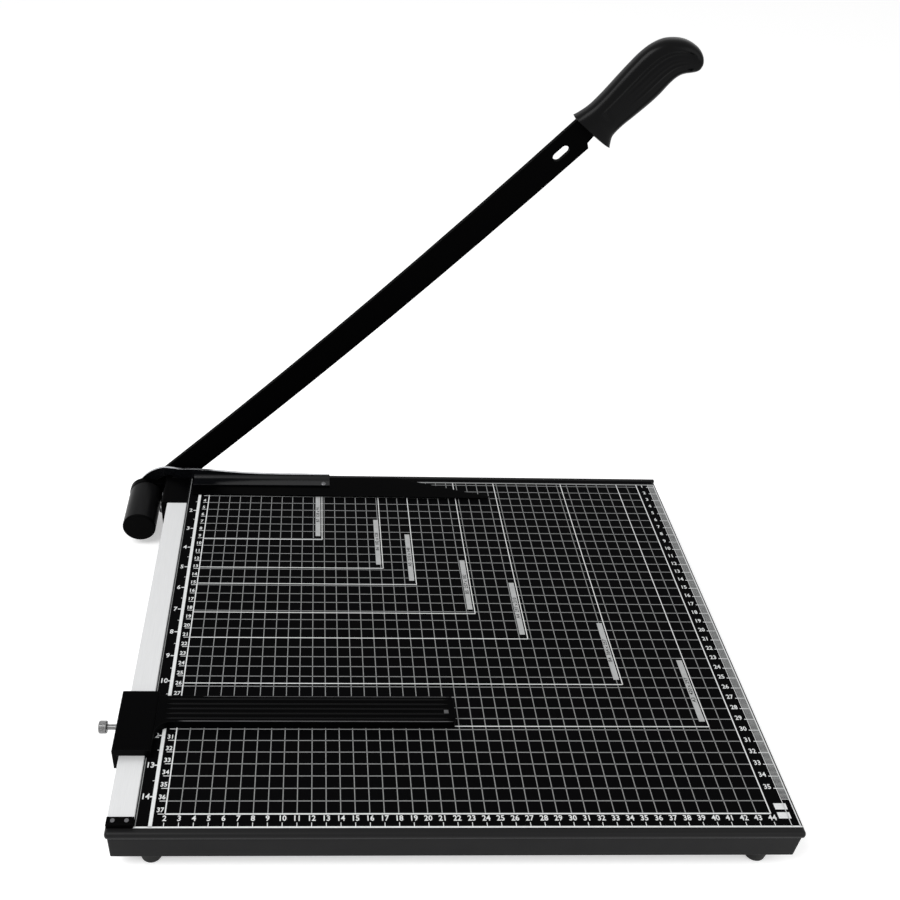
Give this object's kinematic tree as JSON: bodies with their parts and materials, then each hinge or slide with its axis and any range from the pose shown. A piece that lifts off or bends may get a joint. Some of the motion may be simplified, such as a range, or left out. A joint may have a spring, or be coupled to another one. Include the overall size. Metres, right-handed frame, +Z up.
{
  "type": "guillotine paper cutter",
  "caption": "Desktop guillotine paper cutter: gridded metal board, curved cutting arm with a moulded handle, press plate, side fence and sliding back gauge.",
  "frame": {"origin": "centre of the overall footprint, on the table plane, with the arm raised 44 degrees", "axes": "+X along the cutting edge from the pivot to the handle side; +Y from the front of the board to the cutting edge; +Z up from the table"},
  "size_m": [0.5214, 0.4026, 0.4641],
  "materials": {
    "black_paint": "semi-matt black powder coat",
    "board_film": "satin black printed film with a pale measuring grid",
    "rubber": "matt",
    "zinc_steel": "bright zinc",
    "fence_aluminium": "fine satin",
    "blade_steel": "ground",
    "arm_black": "matt black with a bright ground edge",
    "barrel_black": "satin dark grey",
    "spring_steel": "oiled",
    "bronze": "satin",
    "fibre": "fibre friction washer",
    "press_black": "gloss black",
    "handle_plastic": "semi-gloss moulded",
    "gauge_plastic": "satin moulded",
    "brass": "machined",
    "knurled_steel": "knurled nickel plate",
    "stop_black": "matt"
  },
  "bodies": {
    "base": {"base_lid": "black_paint", "base_tray": "black_paint", "stiffener_channels": "zinc_steel", "grid_sheet": "board_film", "feet": "rubber", "foot_screws": "zinc_steel", "foot_nuts": "zinc_steel", "fence_strip": "fence_aluminium", "fence_screws": "zinc_steel", "fence_stop": "stop_black", "fence_stop_screws": "zinc_steel", "fixed_blade": "blade_steel", "blade_screws": "zinc_steel", "blade_nuts": "zinc_steel", "hinge_bracket": "black_paint", "bracket_bolts": "zinc_steel", "bracket_nuts": "zinc_steel", "pivot_bolt": "zinc_steel", "pivot_nut": "zinc_steel", "spring_washer": "zinc_steel", "pivot_spring": "spring_steel", "spring_barrel": "barrel_black", "barrel_cap": "barrel_black", "rear_washer": "zinc_steel"},
    "blade_arm": {"cutting_arm": "arm_black", "arm_bush": "bronze", "friction_washer": "fibre", "handle": "handle_plastic", "handle_screws": "zinc_steel"},
    "press_plate": {"press_arm": "press_black", "press_strip": "press_black", "press_rivet": "zinc_steel"},
    "paper_guide": {"gauge_body": "gauge_plastic", "gauge_insert": "brass"},
    "thumbscrew": {"thumbscrew": "knurled_steel"}
  },
  "joints": [
    {"name": "arm_hinge", "type": "hinge", "parent": "base", "child": "blade_arm", "pos_m": [-0.24475, 0.19023, 0.0225], "axis": [0, -1, 0], "range_deg": [-42, 20]},
    {"name": "press_hinge", "type": "hinge", "parent": "base", "child": "press_plate", "pos_m": [-0.24475, 0.19023, 0.0225], "axis": [0, -1, 0], "range_deg": [-0.3, 0.15]},
    {"name": "gauge_slide", "type": "slide", "parent": "base", "child": "paper_guide", "axis": [0, 1, 0], "range_m": [-0.048, 0.227]},
    {"name": "thumbscrew_turn", "type": "hinge", "parent": "paper_guide", "child": "thumbscrew", "pos_m": [-0.22925, -0.11127, 0.0383], "axis": [1, 0, 0], "range_deg": [0, 360]}
  ],
  "couplings": [
    {"joint": "press_hinge", "follows": "arm_hinge", "ratio": 0.0071}
  ]
}
